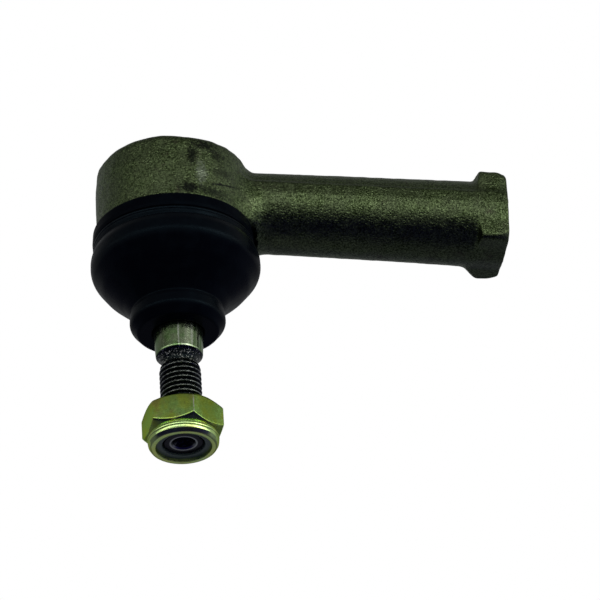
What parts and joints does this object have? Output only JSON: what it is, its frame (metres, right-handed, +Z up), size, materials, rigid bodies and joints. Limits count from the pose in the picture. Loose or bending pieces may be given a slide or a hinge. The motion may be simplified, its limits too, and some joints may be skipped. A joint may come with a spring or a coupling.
{
  "type": "tie rod end",
  "caption": "Forged tie rod end: threaded shank, ball stud in a sprung plastic seat under a rubber dust boot, with a nylon-insert lock nut.",
  "frame": {"origin": "centre of the threaded bore's mouth on the shank's end face", "axes": "+X out of the threaded bore along the shank, +Z up and away from the stud, which hangs along -Z and leans 1.4 degrees towards +X at rest"},
  "size_m": [0.1009, 0.0408, 0.0773],
  "materials": {
    "forged_steel": "shot-blasted forging, oiled",
    "cap_steel": "pressed sheet",
    "spring_steel": "blued",
    "seat_plastic": "moulded acetal",
    "ground_steel": "ground, rolled thread",
    "boot_rubber": "moulded, slight bloom",
    "ring_steel": "drawn strip",
    "yellow_zinc": "yellow passivated zinc",
    "insert_nylon": "moulded nylon"
  },
  "bodies": {
    "housing": {"housing": "forged_steel", "end_cap": "cap_steel", "preload_spring": "spring_steel", "upper_seat": "seat_plastic", "lower_seat": "seat_plastic", "boot_ring_upper": "ring_steel"},
    "boot": {"dust_boot": "boot_rubber"},
    "boot_lip": {"boot_ring_lower": "ring_steel"},
    "stud": {"ball_stud": "ground_steel"},
    "nut_run": {"nylon_insert": "insert_nylon"},
    "nut": {"lock_nut": "yellow_zinc"}
  },
  "joints": [
    {"name": "stud_swing_side", "type": "hinge", "parent": "housing", "child": "boot", "pos_m": [-0.0805, 0, -0.0054], "axis": [1, 0, 0], "range_deg": [-20, 20], "deforming": ["dust_boot"]},
    {"name": "stud_swing_fore", "type": "hinge", "parent": "boot", "child": "boot_lip", "pos_m": [-0.0805, 0, -0.0054], "axis": [0, 1, 0], "range_deg": [-18.6, 21.4], "deforming": ["dust_boot"]},
    {"name": "stud_spin", "type": "hinge", "parent": "boot_lip", "child": "stud", "pos_m": [-0.0805, 0, -0.0054], "axis": [-0.0244, 0, 0.9997], "continuous": true},
    {"name": "nut_travel", "type": "slide", "parent": "stud", "child": "nut_run", "axis": [-0.0244, 0, 0.9997], "range_m": [-0.008, 0.011]},
    {"name": "nut_turn", "type": "hinge", "parent": "nut_run", "child": "nut", "pos_m": [-0.07912, 0, -0.06168], "axis": [-0.0244, 0, 0.9997], "range_deg": [-2304, 3168]}
  ],
  "couplings": [
    {"joint": "nut_travel", "follows": "nut_turn", "m_per_rad": 0.00019894}
  ]
}
